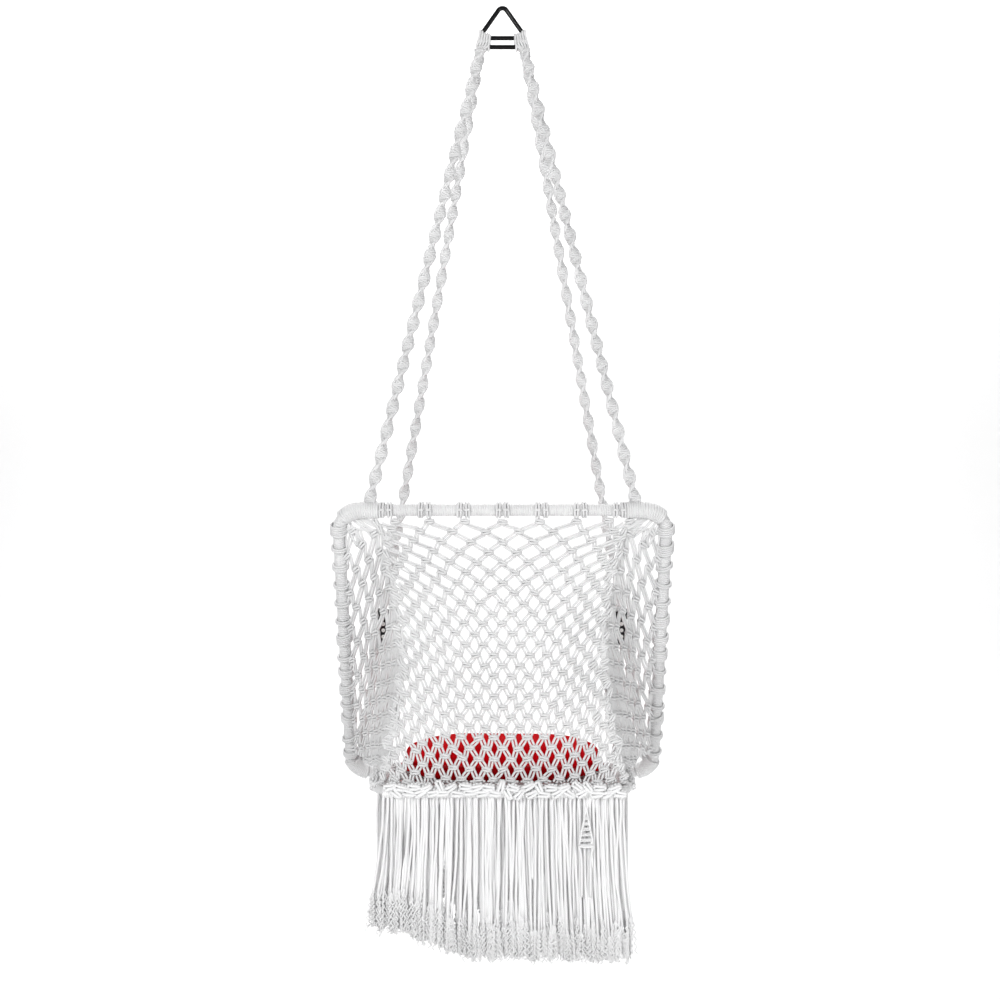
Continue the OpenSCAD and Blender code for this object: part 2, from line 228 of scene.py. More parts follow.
def cord_material(name, low, high, plaits=3.0, pitch=2.6 * MM, depth=0.22 * MM, gloss=0.42,
                  sheen=0.25):
    """Braided cord: two sets of strands cross round it, by the UV map "cord". Its grooves are
    coloured darker, towards the low colour, as painted shade.
    """
    material, tree, shader = new_material(name, Roughness=gloss, Sheen_Weight=sheen,
                                          Sheen_Roughness=0.4)
    uv = node(tree, "ShaderNodeUVMap", uv_map="cord").outputs["UV"]
    split = node(tree, "ShaderNodeSeparateXYZ", {0: uv})
    along = maths(tree, "MULTIPLY", split.outputs[0], 2 * math.pi / pitch)
    around = maths(tree, "MULTIPLY", split.outputs[1], 2 * math.pi * plaits)
    right = maths(tree, "SINE", maths(tree, "ADD", along, around))
    left = maths(tree, "SINE", maths(tree, "SUBTRACT", along, around))
    plait = maths(tree, "MULTIPLY_ADD", maths(tree, "MAXIMUM", right, left), 0.5, 0.5)
    fibre = noise(tree, 900.0, 3.0)
    height = maths(tree, "ADD", plait, maths(tree, "MULTIPLY", fibre, 0.25))
    tree.links.new(bump(tree, height, depth), shader.inputs["Normal"])
    stain = maths(tree, "MULTIPLY", noise(tree, 14.0, 4.0), 0.45)
    # The colour goes from the low colour in the grooves between the plaits (painted shade) to the
    # high one on their crests; the stain noise adds random tone.
    tone = maths(tree, "ADD", maths(tree, "MULTIPLY", plait, 0.55), stain)
    tree.links.new(tinted(tree, low, high, tone), shader.inputs["Base Color"])
    rough = maths(tree, "MULTIPLY_ADD", fibre, 0.2, gloss - 0.08)
    tree.links.new(rough, shader.inputs["Roughness"])
    return material


def wire_material():
    material, tree, shader = new_material("gloss_black_wire", Roughness=0.1,
                                          Specular_IOR_Level=0.22)
    worn = noise(tree, 260.0, 5.0)
    tree.links.new(tinted(tree, (0.002, 0.002, 0.002), (0.008, 0.008, 0.009), worn),
                   shader.inputs["Base Color"])
    tree.links.new(maths(tree, "MULTIPLY_ADD", worn, 0.12, 0.06), shader.inputs["Roughness"])
    tree.links.new(bump(tree, worn, 0.05 * MM), shader.inputs["Normal"])
    return material


def woven(tree, pitch):
    """A plain weave's height in object space: crossing threads, each pitch wide."""
    place = node(tree, "ShaderNodeTexCoord").outputs["Object"]
    split = node(tree, "ShaderNodeSeparateXYZ", {0: place})
    warp = maths(tree, "SINE", maths(tree, "MULTIPLY", split.outputs[0], math.pi / pitch))
    depth = maths(tree, "ADD", split.outputs[1], split.outputs[2])
    weft = maths(tree, "SINE", maths(tree, "MULTIPLY", depth, math.pi / pitch))
    return maths(tree, "MULTIPLY", maths(tree, "ABSOLUTE", warp), maths(tree, "ABSOLUTE", weft))


def fabric_material(name, low, high, pitch, gloss=0.75, sheen=0.3):
    material, tree, shader = new_material(name, Roughness=gloss, Sheen_Weight=sheen,
                                          Specular_IOR_Level=0.02)
    weave = woven(tree, pitch)
    slub = maths(tree, "ADD", noise(tree, 60.0, 4.0), noise(tree, 480.0, 3.0))
    # The weave colours the hollows between the threads darker, towards the low colour, as painted
    # shade; the slub noise adds random tone.
    tone = maths(tree, "ADD", maths(tree, "MULTIPLY", weave, 0.25),
                 maths(tree, "MULTIPLY", slub, 0.42))
    tree.links.new(tinted(tree, low, high, tone), shader.inputs["Base Color"])
    tree.links.new(bump(tree, weave, 0.3 * MM, 0.4), shader.inputs["Normal"])
    return material


def speckled_material(name, low, high, gloss, metallic=0.0, grain=(700.0, 3.0), depth=0.04 * MM):
    material, tree, shader = new_material(name, Metallic=metallic, Roughness=gloss)
    speck = noise(tree, *grain)
    tree.links.new(tinted(tree, low, high, speck), shader.inputs["Base Color"])
    tree.links.new(bump(tree, speck, depth), shader.inputs["Normal"])
    return material


# -------- tubes of cord
def unit(v):
    return v / np.maximum(np.linalg.norm(v, axis=-1, keepdims=True), 1e-12)


def smooth(points, steps=3):
    """Catmull-Rom through the points of each path, shape (paths, points, 3)."""
    p = np.concatenate([2 * points[:, :1] - points[:, 1:2], points,
                        2 * points[:, -1:] - points[:, -2:-1]], axis=1)
    t = np.linspace(0, 1, steps, endpoint=False)[None, None, :, None]
    a, b, c, d = (p[:, i:i + points.shape[1] - 1, None] for i in range(4))
    curve = 0.5 * (2 * b + (c - a) * t + (2 * a - 5 * b + 4 * c - d) * t**2
                   + (3 * b - a - 3 * c + d) * t**3)
    return np.concatenate([curve.reshape(len(points), -1, 3), points[:, -1:]], axis=1)


BATCH = 200  # most tubes in a batch
MOST_TRIANGLES = 190_000  # in one piece, so that its exported mesh isn't thinned


class Cords:
    """Collects tubes and makes them meshes, with the UV map "cord": metres along, turns round."""

    def __init__(self):
        self.batches = []  # each one's vertices, face corners, face sizes and UVs

    def add(self, paths, radius=CORD, sides=6):
        """Tubes along paths of shape (paths, points, 3). radius is a number or one per point."""
        paths = np.asarray(paths, float)
        if paths.ndim == 2:
            paths = paths[None]
        for first in range(0, len(paths), BATCH):
            self.batches.append(self.tubes(paths[first:first + BATCH], radius, sides))

    @staticmethod
    def tubes(paths, radius, sides):
        many, long, _ = paths.shape
        tangent = unit(np.gradient(paths, axis=1))
        side = np.where(np.abs(tangent[:, 0] @ Z)[:, None] > 0.8, X, Z)
        normal = np.empty_like(paths)
        for i in range(long):
            t = tangent[:, i]
            side = unit(side - (side * t).sum(-1, keepdims=True) * t)
            normal[:, i] = side
        binormal = np.cross(tangent, normal)
        angle = 2 * np.pi * np.arange(sides) / sides
        r = np.broadcast_to(np.asarray(radius, float), (many, long))[..., None, None]
        ring = (np.cos(angle)[:, None] * normal[:, :, None]
                + np.sin(angle)[:, None] * binormal[:, :, None])
        verts = (paths[:, :, None] + r * ring).reshape(-1, 3)
        index = np.arange(many * long * sides).reshape(many, long, sides)
        a, b = index[:, :-1], index[:, 1:]
        quads = np.stack([a, np.roll(a, -1, 2), np.roll(b, -1, 2), b], axis=-1)
        gone = np.concatenate([np.zeros((many, 1)), np.cumsum(
            np.linalg.norm(np.diff(paths, axis=1), axis=-1), axis=1)], axis=1)
        u0, u1 = gone[:, :-1, None], gone[:, 1:, None]
        v0 = np.arange(sides) / sides + np.zeros_like(u0)
        v1 = v0 + 1 / sides
        u0, u1 = u0 + np.zeros_like(v0), u1 + np.zeros_like(v0)
        quad_uvs = np.stack([u0, v0, u0, v1, u1, v1, u1, v0], axis=-1).reshape(-1, 2)
        caps = np.concatenate([index[:, 0, ::-1], index[:, -1]])
        corners = np.concatenate([quads.ravel(), caps.ravel()])
        sizes = np.concatenate([np.full(quads.size // 4, 4), np.full(len(caps), sides)])
        return verts, corners, sizes, np.concatenate([quad_uvs, np.zeros((caps.size, 2))])

    def piece(self, name, body, material, *nodes, slot="white_cord"):
        """Makes the mesh objects, rides them on their body, and replaces the CAD nodes they stand
        for. A mesh with too many faces goes on in a second piece."""
        groups, triangles = [[]], 0
        for batch in self.batches:
            more = int(np.sum(batch[2] - 2))
            if triangles + more > MOST_TRIANGLES:
                groups.append([])
                triangles = 0
            groups[-1].append(batch)
            triangles += more
        for number, group in enumerate(groups, 1):
            mesh = tube_mesh(name if number == 1 else f"{name}_{number}", group)
            mesh.materials.append(material)
            piece = settle(bpy.data.objects.new(mesh.name, mesh), body, *nodes)


def tube_mesh(name, batches):
    verts, loops, sizes, uvs = (np.concatenate(part) for part in zip(*batches))
    counts = [len(batch[0]) for batch in batches]
    before = np.cumsum([0] + counts[:-1])
    loops = loops + np.repeat(before, [len(batch[1]) for batch in batches])
    mesh = bpy.data.meshes.new(name)
    mesh.vertices.add(len(verts))
    mesh.vertices.foreach_set("co", verts.astype(np.float32).ravel())
    mesh.loops.add(len(loops))
    mesh.loops.foreach_set("vertex_index", loops.astype(np.int32))
    mesh.polygons.add(len(sizes))
    starts = np.concatenate([[0], np.cumsum(sizes)[:-1]])
    mesh.polygons.foreach_set("loop_start", starts.astype(np.int32))
    mesh.update(calc_edges=True)
    mesh.polygons.foreach_set("use_smooth", np.ones(len(sizes), bool))
    layer = mesh.uv_layers.new(name="cord")
    layer.data.foreach_set("uv", uvs.astype(np.float32).ravel())
    return mesh


def settle(piece, body, *nodes):
    """Links a piece, rides it on its body, and replaces the CAD nodes that it stands for."""
    if piece.name not in bpy.context.collection.objects:
        bpy.context.collection.objects.link(piece)
    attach(piece, body)
    if nodes:
        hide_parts(*nodes)
    return piece


def resample(line, spacing):
    """A polyline's points, spacing apart, and the length gone at each."""
    gone = np.concatenate([[0], np.cumsum(np.linalg.norm(np.diff(line, axis=0), axis=1))])
    at = np.linspace(0, gone[-1], max(2, int(gone[-1] / spacing) + 1))
    return np.stack([np.interp(at, gone, line[:, k]) for k in range(3)], axis=1), at


def follow(line, flat, spacing):
    """Points spacing apart along a line, and at each the length gone, the tangent, the normal and
    the binormal. The normal is turned to flat, a direction never along the line."""
    points, gone = resample(np.asarray(line, float), spacing)
    tangent = unit(np.gradient(points, axis=0))
    normal = unit(flat - (tangent @ flat)[:, None] * tangent)
    return points, gone, tangent, normal, np.cross(tangent, normal)


def arc(start, stop, radius, centre, steps=14):
    """Points of a flat arc, in degrees, about a 2-D centre."""
    a = np.radians(np.linspace(start, stop, steps))
    return np.stack([centre[0] + radius * np.cos(a), centre[1] + radius * np.sin(a)], axis=1)


# -------- square knots and the net
# One working cord of a square knot: across, up and out of the net, in cord radii. The other one is
# its half turn about the vertical. The two filler cords run straight down.
WORKING = np.array([
    (-3.7, 1.5, 0.2), (-2.1, 1.2, 1.5), (0.0, 1.0, 2.05), (2.1, 0.95, 1.7), (3.3, 0.6, 0.7),
    (3.7, 0.0, -0.3), (3.3, -0.6, 0.7), (2.1, -0.95, 1.7), (0.0, -1.0, 2.05), (-2.1, -1.2, 1.5),
    (-3.7, -1.5, 0.2)])
OTHER = WORKING * (-1, 1, -1)
FILLER = np.array([(-1.1, 2.8, 0.0), (-0.95, 0.9, 0.0), (-0.95, -0.9, 0.0), (-1.1, -2.8, 0.0)])
FILLER_2 = FILLER * (-1, 1, 1)
WORKING_END, FILLER_END = (3.7, 1.5), (1.1, 2.8)  # where they leave the knot: across and down
KNOT_LEAN = 0.13  # in radians, the spread of how far the net's knots lean
SLACK = 0.3  # the spread of how far a cord bows between two knots, in cord radii
MOST_HALF_CELLS = 60  # on each side of the net's column 0


def put_knots(cords, places, across, down, out, scale=CORD):
    """Square knots at places, each in its own frame."""
    if not len(places):
        return
    for shape in (WORKING, OTHER, FILLER, FILLER_2):
        path = (places[:, None] + scale * (shape[None, :, :1] * across[:, None]
                - shape[None, :, 1:2] * down[:, None] + shape[None, :, 2:] * out[:, None]))
        cords.add(smooth(path, 2), scale)


def leaning(tilt, side):
    """Across and down for knots that lean by tilt, in the upright plane through side."""
    return np.cos(tilt) * side + np.sin(tilt) * Z, np.sin(tilt) * side - np.cos(tilt) * Z


def corner_of(place, across, down, side, upper, outer, scale):
    """Where a knot's working (outer) or filler cord leaves it, on one side, above or below."""
    reach, drop = WORKING_END if outer else FILLER_END
    a = side * reach * scale
    d = (-1 if upper else 1) * drop * scale
    return place + a * across + d * down


def lattice(cords, surface, rows, column_x, limit, out_sign=1.0, scale=CORD, jitter=0.5 * MM):
    """An alternating square-knot net on a surface.

    surface(x, d) gives points for distances x across and d down. rows lists each row's d.
    column_x(c, d) gives the distance across of column c. limit(d) gives the lowest and highest
    distance across at d. A knot past the limit isn't tied: its cords end on the limit."""
    step = 0.5 * MM
    knots = {}
    for j, d in enumerate(rows):
        low, high = limit(d)
        for half in range(-MOST_HALF_CELLS, MOST_HALF_CELLS + 1):
            if (half + j) % 2:
                continue
            x = column_x(half / 2, d)
            tied = low + step < x < high - step
            knots[j, half] = (min(max(x, low), high), d, tied)
    flat = np.array([(x, d) for x, d, _ in knots.values()])
    tied = np.array([k[2] for k in knots.values()])
    flat += rng.normal(size=flat.shape) * tied[:, None] * jitter
    place = surface(flat[:, 0], flat[:, 1])
    across = surface(flat[:, 0] + step, flat[:, 1]) - surface(flat[:, 0] - step, flat[:, 1])
    down = surface(flat[:, 0], flat[:, 1] + step) - surface(flat[:, 0], flat[:, 1] - step)
    tied &= np.linalg.norm(down, axis=1) > 0.2 * step
    down[np.linalg.norm(down, axis=1) < 0.2 * step] = -Z * step
    across = unit(across)
    down = unit(down - (down * across).sum(-1, keepdims=True) * across)
    out = out_sign * np.cross(down, across)
    tilt = (KNOT_LEAN * rng.normal(size=len(flat)) * tied)[:, None]
    across, down = (np.cos(tilt) * across + np.sin(tilt) * down,
                    np.cos(tilt) * down - np.sin(tilt) * across)
    index = {key: n for n, key in enumerate(knots)}
    put_knots(cords, place[tied], across[tied], down[tied], out[tied], scale)
    starts, ends, lift = [], [], []
    for (j, half), n in index.items():
        for side in (-1, 1):
            m = index.get((j + 1, half + side))
            if m is None or not (tied[n] or tied[m]):
                continue
            for outer in (True, False):
                starts.append(corner_of(place[n], across[n], down[n], side, False, outer, scale))
                ends.append(corner_of(place[m], across[m], down[m], -side, True, not outer, scale))
                lift.append(out[n] + out[m])
    a, b, lift = np.array(starts), np.array(ends), unit(np.array(lift))
    middle = (a + b) / 2 + SLACK * scale * rng.normal(size=(len(a), 1)) * lift
    cords.add(smooth(np.stack([a, middle, b], axis=1), 3), scale, 6)


ROW = 12 * MM  # row spacing of the back panel
WIDE, NARROW, TAPER = 50 * MM, 19 * MM, 65 * MM  # cell width: on the bar, far below, its decay
TUCK = 9.5 * MM  # from the top bar's centre to the net's top edge


def cell_width(d):
    """The net's cells narrow quickly from the top bar downwards."""
    return NARROW + (WIDE - NARROW) * np.exp(-(d + TUCK) / TAPER)


def ridge_x(d):
    """Half the back panel's width, d below the net's top edge."""
    t = np.clip(np.asarray(d) / NET_DROP, 0, 1)
    return BACK_HALF + t * (SEAT_HALF - 2 * MM - BACK_HALF) - WAIST * np.sin(np.pi * t)


RISE = 20 * MM  # how much higher a row of the back panel runs at the ridge than in the middle


def on_back(x, d):
    """The flat point of the back panel x across and d below the net's top edge."""
    t = np.asarray(d) / NET_DROP
    y = TOP_BAR[1] + t * (SEAT_REAR - TOP_BAR[1])
    return np.stack([x + 0 * t, y + 0 * np.asarray(x), NET_TOP - d + 0 * np.asarray(x)], axis=-1)


def back_surface(x, d):
    """The back panel, whose rows rise towards the ridges."""
    ramp = np.clip(np.asarray(d) / NET_DROP / 0.35, 0, 1)
    rise = RISE * ramp * np.clip(np.abs(x) / ridge_x(d), 0, 1) ** 3
    return on_back(x, np.minimum(d - rise, NET_DROP))


SIDE_TOP, SIDE_LOW = 24 * MM, FRAME_SIDE - 26 * MM  # the panel's ends on the side bar
SIDE_IN = HALF - 1 * MM
SIDE_ROW, SIDE_ROW_LOW = 22 * MM, 18 * MM  # row spacing, down to the belt tab and at the seat
SIDE_CELL, SIDE_CELL_LOW = 20 * MM, 15.5 * MM  # cell width, likewise
SIDE_SLOPE = 30 * MM  # how much lower a row meets the side bar than the ridge
PARTING = (66 * MM, 124 * MM)  # where the cords part round a belt tab: from the bar, and down
PARTED = 8 * MM  # how far they move aside
PARTING_SIZE = (22 * MM, 24 * MM)  # how far the parting reaches, across and down
ROWS_ABOVE = 7  # rows of knots above the parting
# Pairs of cords from the frame's upper corner: degrees round its bend, and mm from the side bar.
FAN = ((86, 66), (76, 56), (66, 47), (54, 38), (42, 27), (30, 18), (16, 7))


def side_edges(d):
    """A side panel's two edges at d below the net's top: on the ridge, and on the side bar."""
    t = np.clip(np.asarray(d, float) / NET_DROP, 0, 1)
    inner = on_back(ridge_x(d) - 2 * MM, np.clip(d, 0, NET_DROP))
    return inner, on_slope(np.full(t.shape, SIDE_IN), SIDE_TOP + t * (SIDE_LOW - SIDE_TOP)), t


def side_surface(sign):
    """A side panel's point x from the side bar and d below the net's top, measured on the ridge."""
    def at(x, d):
        x = np.asarray(x, float)
        inner, outer, _ = side_edges(d)
        width = np.linalg.norm(outer - inner, axis=-1)
        off, low = x - PARTING[0], np.asarray(d) - PARTING[1]
        x = x + PARTED * np.tanh(off / (4 * MM)) * np.exp(
            -(low / PARTING_SIZE[1]) ** 2 - (off / PARTING_SIZE[0]) ** 2)
        u = np.clip(1 - x / width, 0, 1)
        inner, outer, t = side_edges(np.asarray(d) + SIDE_SLOPE * (0.3 * u + 0.7 * u**2))
        point = (1 - u)[..., None] * inner + u[..., None] * outer
        point[..., 0] += (HALF - SEAT_HALF) * t * (u**3 - u)
        return point * (sign, 1, 1)
    return at


def side_width(d):
    inner, outer, _ = side_edges(d)
    return float(np.linalg.norm(outer - inner))


def make_back_net(cord):
    cords = Cords()
    rows = np.arange(4 * MM, NET_DROP + RISE, ROW)

    def column_x(c, d):
        x = c * cell_width(d)
        return x * (1 - 0.07 * min(abs(x) / ridge_x(d), 1) ** 2)

    lattice(cords, back_surface, rows, column_x,
            lambda d: (-float(ridge_x(d)), float(ridge_x(d))))
    cords.piece("net_back_cords", "swing", cord, "net_back")


RIDGE_PITCH = 9.5 * MM  # between the knots of the ridge


def make_ridge(cords, sign):
    """Knots at all angles down the edge where the back panel meets a side panel."""
    d = np.arange(4 * MM, NET_DROP - 4 * MM, RIDGE_PITCH)
    many = len(d)
    d += rng.normal(size=many) * 1.5 * MM
    place = on_back(sign * (ridge_x(d) + rng.normal(size=many) * 2.6 * MM), d)
    tilt = sign * rng.uniform(0.2, 1.2, size=many)[:, None]
    across, down = leaning(tilt, X)
    put_knots(cords, place, across, down, np.tile(-Y, (many, 1)))
    for k in (-1.5, 1.5):
        path = place + k * CORD * down + 0.5 * MM * Y
        cords.add(smooth(path[None], 4), CORD)


def below_parting(d):
    """How far down from the parting to the seat d is, from 0 to 1."""
    return min(max((d - PARTING[1]) / (NET_DROP - PARTING[1]), 0.0), 1.0)


def make_side_net(cord, sign, name):
    cords = Cords()
    surface = side_surface(sign)
    rows = list(np.arange(PARTING[1] - ROWS_ABOVE * SIDE_ROW, PARTING[1] + SIDE_ROW, SIDE_ROW))
    while rows[-1] < NET_DROP:
        rows.append(rows[-1] + SIDE_ROW + below_parting(rows[-1]) * (SIDE_ROW_LOW - SIDE_ROW))

    def column_x(c, d):
        return (c + 0.3) * (SIDE_CELL + below_parting(d) * (SIDE_CELL_LOW - SIDE_CELL))

    def limit(d):
        width = side_width(max(d, 0.0))
        return 0.0, width * (1 - math.sqrt(max(-d, 0.0) / SIDE_SLOPE))

    lattice(cords, surface, rows[:-1], column_x, limit, out_sign=sign,
            scale=1.08 * CORD, jitter=0.8 * MM)
    make_ridge(cords, sign)
    inside = FRAME_BEND - BAR + CORD
    for angle, x in FAN:
        a = math.radians(angle)
        start = on_slope(sign * (HALF - FRAME_BEND + inside * math.cos(a)),
                         FRAME_BEND - inside * math.sin(a))
        end = surface(x * MM, 12 * MM + rng.normal() * 2 * MM)
        for k in (-1.4, 1.4):
            shift = k * CORD * np.array([sign * math.sin(a), 0, math.cos(a)])
            path = np.array([start + shift, (start + end) / 2 + shift - 1.5 * MM * Z, end + shift])
            cords.add(smooth(path[None], 4), CORD)
    cords.piece(f"{name}_cords", "swing", cord, name)


def make_seat_net(cord):
    cords = Cords()
    inset = 8.5 * MM
    width, depth = SEAT_HALF - inset, SEAT_DEPTH - 2 * inset
    sag = 2.0 * MM

    def floor(x, d):
        x, d = np.asarray(x, float), np.asarray(d, float)
        dip = sag * np.cos(np.pi / 2 * x / width) * np.sin(np.pi * np.clip(d / depth, 0, 1))
        return np.stack([x, SEAT_REAR + inset + d, SEAT_Z + 1.6 * MM - dip], axis=-1)

    rows = np.arange(3 * MM, depth, ROW)
    lattice(cords, floor, rows, lambda c, d: c * NARROW, lambda d: (-width, width))
    cords.piece("net_seat_cords", "swing", cord, "net_seat")


# -------- frame, seat ring and windings
def ring_side(half, bend, far, y0, y1):
    """The far or near end of a rounded rectangle with both its corners, in 2-D."""
    y = y1 if far else y0
    s = 1 if far else -1
    cy = y - s * bend
    left = arc(180, 180 - s * 90, bend, (-half + bend, cy))
    right = arc(s * 90, 0, bend, (half - bend, cy))
    return np.concatenate([left, right])


def frame_end(far):
    flat = ring_side(HALF, FRAME_BEND, far, 0, FRAME_SIDE)
    return on_slope(flat[:, 0], flat[:, 1])


def seat_end(far):
    flat = ring_side(SEAT_HALF, SEAT_BEND, far, SEAT_REAR, SEAT_FRONT)
    return np.column_stack([flat, np.full(len(flat), SEAT_Z)])


WIND_PITCH = 2.05 * CORD
WIND_STEPS = 12  # points in each turn


def wind(cords, line, flat, outside, radius=CORD):
    """A cord wound closely on a sleeve that fills the grooves between its turns by half."""
    points, gone, _, normal, binormal = follow(line, flat, WIND_PITCH / WIND_STEPS)
    angle = (2 * np.pi * gone / WIND_PITCH)[:, None]
    cords.add(points + (outside - radius) * (np.cos(angle) * normal + np.sin(angle) * binormal),
              radius)
    sleeve, _ = resample(np.asarray(line, float), 4 * MM)
    cords.add(sleeve, outside - 0.75 * radius, 20)


def winding(cord, bar, name, line, flat, outside):
    cords = Cords()
    wind(cords, line, flat, outside)
    cords.piece(f"{bar}_winding_{name}", "swing", cord, f"{bar}_wrap_{name}")


def make_frame_windings(cord):
    for name, far in (("top", False), ("bottom", True)):
        winding(cord, "frame", name, frame_end(far), FRAME_NORMAL, BAR)
    straight = np.array([FRAME_BEND, FRAME_SIDE - FRAME_BEND])
    for name, sign in SIDES:
        line = on_slope(np.full(2, sign * HALF), straight)
        winding(cord, "frame", name, line, FRAME_NORMAL, BAR)


def make_seat_windings(cord):
    for name, far in (("rear", False), ("front", True)):
        winding(cord, "seat", name, seat_end(far), Z, SEAT_BAR)
    for name, sign in SIDES:
        line = np.array([(sign * SEAT_HALF, y, SEAT_Z)
                         for y in (SEAT_REAR + SEAT_BEND, SEAT_FRONT - SEAT_BEND)])
        winding(cord, "seat", name, line, Z, SEAT_BAR)


LASH = 10.5 * MM  # outer radius of the lashings
LASH_CORD = 1.15 * CORD


def corner_line(sign, top, start, stop):
    """Part of a frame corner's centre line, start to stop degrees round the bend."""
    s0 = FRAME_BEND if top else FRAME_SIDE - FRAME_BEND
    flat = arc(start, stop, FRAME_BEND, (0, 0), 18)
    turn = -1 if top else 1
    return on_slope(sign * (HALF - FRAME_BEND + flat[:, 0]), s0 + turn * flat[:, 1])


def make_lashings(cord):
    for name, sign in SIDES:
        cords = Cords()
        bend = corner_line(sign, True, 90, 40)
        straight = on_slope(sign * np.linspace(HALF - FRAME_BEND - 20 * MM, HALF - FRAME_BEND, 6),
                            np.zeros(6))
        wind(cords, np.concatenate([straight[:-1], bend]), FRAME_NORMAL, LASH, radius=LASH_CORD)
        cords.piece(f"lashing_rear_{name}_cords", "swing", cord, f"lashing_rear_{name}")
        cords = Cords()
        wind(cords, corner_line(sign, False, 75, 15), FRAME_NORMAL, LASH, radius=LASH_CORD)
        cords.piece(f"lashing_front_{name}_cords", "swing", cord, f"lashing_front_{name}")
        cords = Cords()
        x = sign * (SEAT_HALF - SEAT_BEND - 5 * MM)
        a = np.array([SEAT_FRONT, SEAT_Z])
        b = LOW_BAR[1:]
        for k in (-2, -0.7, 0.7, 2):
            belt = belt_round(a, SEAT_BAR + CORD, b, BAR + CORD)
            cords.add(np.column_stack([np.full(len(belt), x + k * 1.9 * CORD), belt]), CORD)
        cords.piece(f"seat_tie_{name}", "swing", cord, f"seat_lashing_{name}")


def belt_round(a, ra, b, rb):
    """A closed cord round two circles in a plane: their centres a and b and its radii there."""
    run = b - a
    far = np.linalg.norm(run)
    heading = math.atan2(run[1], run[0])
    lean = math.acos((ra - rb) / far)
    first = np.linspace(heading + lean, heading + 2 * math.pi - lean, 12)
    second = np.linspace(heading - lean, heading + lean, 12)
    pts = np.concatenate([
        np.stack([a[0] + ra * np.cos(first), a[1] + ra * np.sin(first)], axis=1),
        np.stack([b[0] + rb * np.cos(second), b[1] + rb * np.sin(second)], axis=1)])
    return np.concatenate([pts, pts[:1]])


def loop_ring(centre, axis, up, radius, tilt):
    """A closed ring of cord round a bar, leaning by tilt along it."""
    a = np.linspace(0, 2 * np.pi, 19)
    side = np.cross(axis, up)
    return (centre + radius * (np.cos(a)[:, None] * up + np.sin(a)[:, None] * side)
            + tilt * np.sin(a)[:, None] * axis)


def make_net_loops(cord):
    cords = Cords()
    for c in range(-3, 4):
        x = c * cell_width(0.0)
        for k in (-4.6, -2.1, 2.1, 4.6):
            centre = TOP_BAR + (x + k * CORD) * X
            cords.add(loop_ring(centre, X, -SLOPE, BAR + 0.9 * CORD, 0.6 * MM * np.sign(k)))
        for k in (-3.3, 3.3):
            bight = np.array([(-2.2, -0.4), (-0.9, 0.35), (0.9, 0.35), (2.2, -0.4)])
            path = TOP_BAR + np.array([(x + (k + p) * CORD, -(BAR + 1.9 * CORD), q * MM)
                                       for p, q in bight])
            cords.add(smooth(path[None], 3))
    cords.piece("header_knots", "swing", cord, "header_loops")
    for name, sign in SIDES:
        cords = Cords()
        count = 14
        for i in range(count):
            s = SIDE_TOP + 4 * MM + (SIDE_LOW - SIDE_TOP - 8 * MM) * i / (count - 1)
            s += rng.normal() * 1.5 * MM
            lean = rng.normal() * 2.2 * MM
            rings = int(rng.integers(2, 6))
            for k in range(rings):
                centre = on_slope(sign * HALF, s + (k - rings / 2) * 2.1 * CORD)
                radius = BAR + 0.9 * CORD + rng.uniform(0, 0.7) * MM
                cords.add(loop_ring(centre, SLOPE, FRAME_NORMAL, radius, lean))
        cords.piece(f"side_knots_{name}", "swing", cord, f"side_loops_{name}")


# -------- suspension ropes
ROPE_TWIST = 54 * MM  # length of one full turn of the half knots' spiral
ROPE_STITCH = 4.6 * MM  # length of one half knot
ROPE_SIZES = {"rear": (6.1 * MM, 1.9 * MM), "front": (5.4 * MM, 1.8 * MM)}  # half width and depth
ABOVE_FOOT = 8 * MM  # where a rope ends, short of the centre line of the bar that it is lashed to


def spiral_rope(cords, line, flat, wide, thin, phase):
    """A sinnet of half knots: a flat band of stitches that turns as it runs along the rope."""
    points, gone, tangent, normal, binormal = follow(line, flat, 0.7 * MM)
    turn = 2 * np.pi * gone / ROPE_TWIST + phase + 0.25 * np.sin(gone / (31 * MM))
    band = np.cos(turn)[:, None] * normal + np.sin(turn)[:, None] * binormal
    face = np.cross(tangent, band)
    stitch = 2 * np.pi * gone / ROPE_STITCH
    for side in (-1, 1):
        edge = side * (wide + 0.3 * MM * np.sin(stitch))[:, None] * band
        cords.add(points + edge + 0.3 * MM * np.cos(stitch)[:, None] * face, 1.1 * CORD, 6)
        for front in (-1, 1):
            across = wide * 0.95 * np.sin(stitch / 2 + side * 0.7) * side
            lift = front * thin * (1 - 0.35 * (across / wide) ** 2)
            cords.add(points + across[:, None] * band + lift[:, None] * face, 1.05 * CORD, 6)
    for k in (-0.5, 0.5):
        cords.add(points[::6] + k * wide * band[::6], thin * 0.95, 8)


def make_ropes(cord):
    corner_mid = FRAME_BEND * (1 - math.cos(math.radians(45)))
    feet = {
        "rear": (on_slope(REAR_FOOT_X, 0)
                 + ABOVE_FOOT * unit(KNOT - on_slope(REAR_FOOT_X, 0)), -1),
        "front": (on_slope(HALF - corner_mid, FRAME_SIDE - corner_mid) + ABOVE_FOOT * Z, 1)}
    for end, (foot, way) in feet.items():
        start = KNOT * (1, way, 1)
        for name, sign in SIDES:
            cords = Cords()
            line = np.array([start + (-1.5 * MM, 0, 10 * MM), start, foot]) * (sign, 1, 1)
            wide, thin = ROPE_SIZES[end]
            spiral_rope(cords, line, Y, wide, thin, rng.uniform(0, 3))
            cords.piece(f"rope_{end}_{name}_sinnet", "swing", cord, f"rope_{end}_{name}")


WIRE = 2.8 * MM  # radius of the triangle's wire
# Each looped cord's x on the triangle's base, height over it, and x on the spreader bar, in mm.
LOOPS = ((15.5, 0.0, 17.0), (18.6, 0.2, 20.6), (21.6, 1.0, 24.2), (24.4, 3.2, 27.6),
         (27.2, 4.8, 31.0))


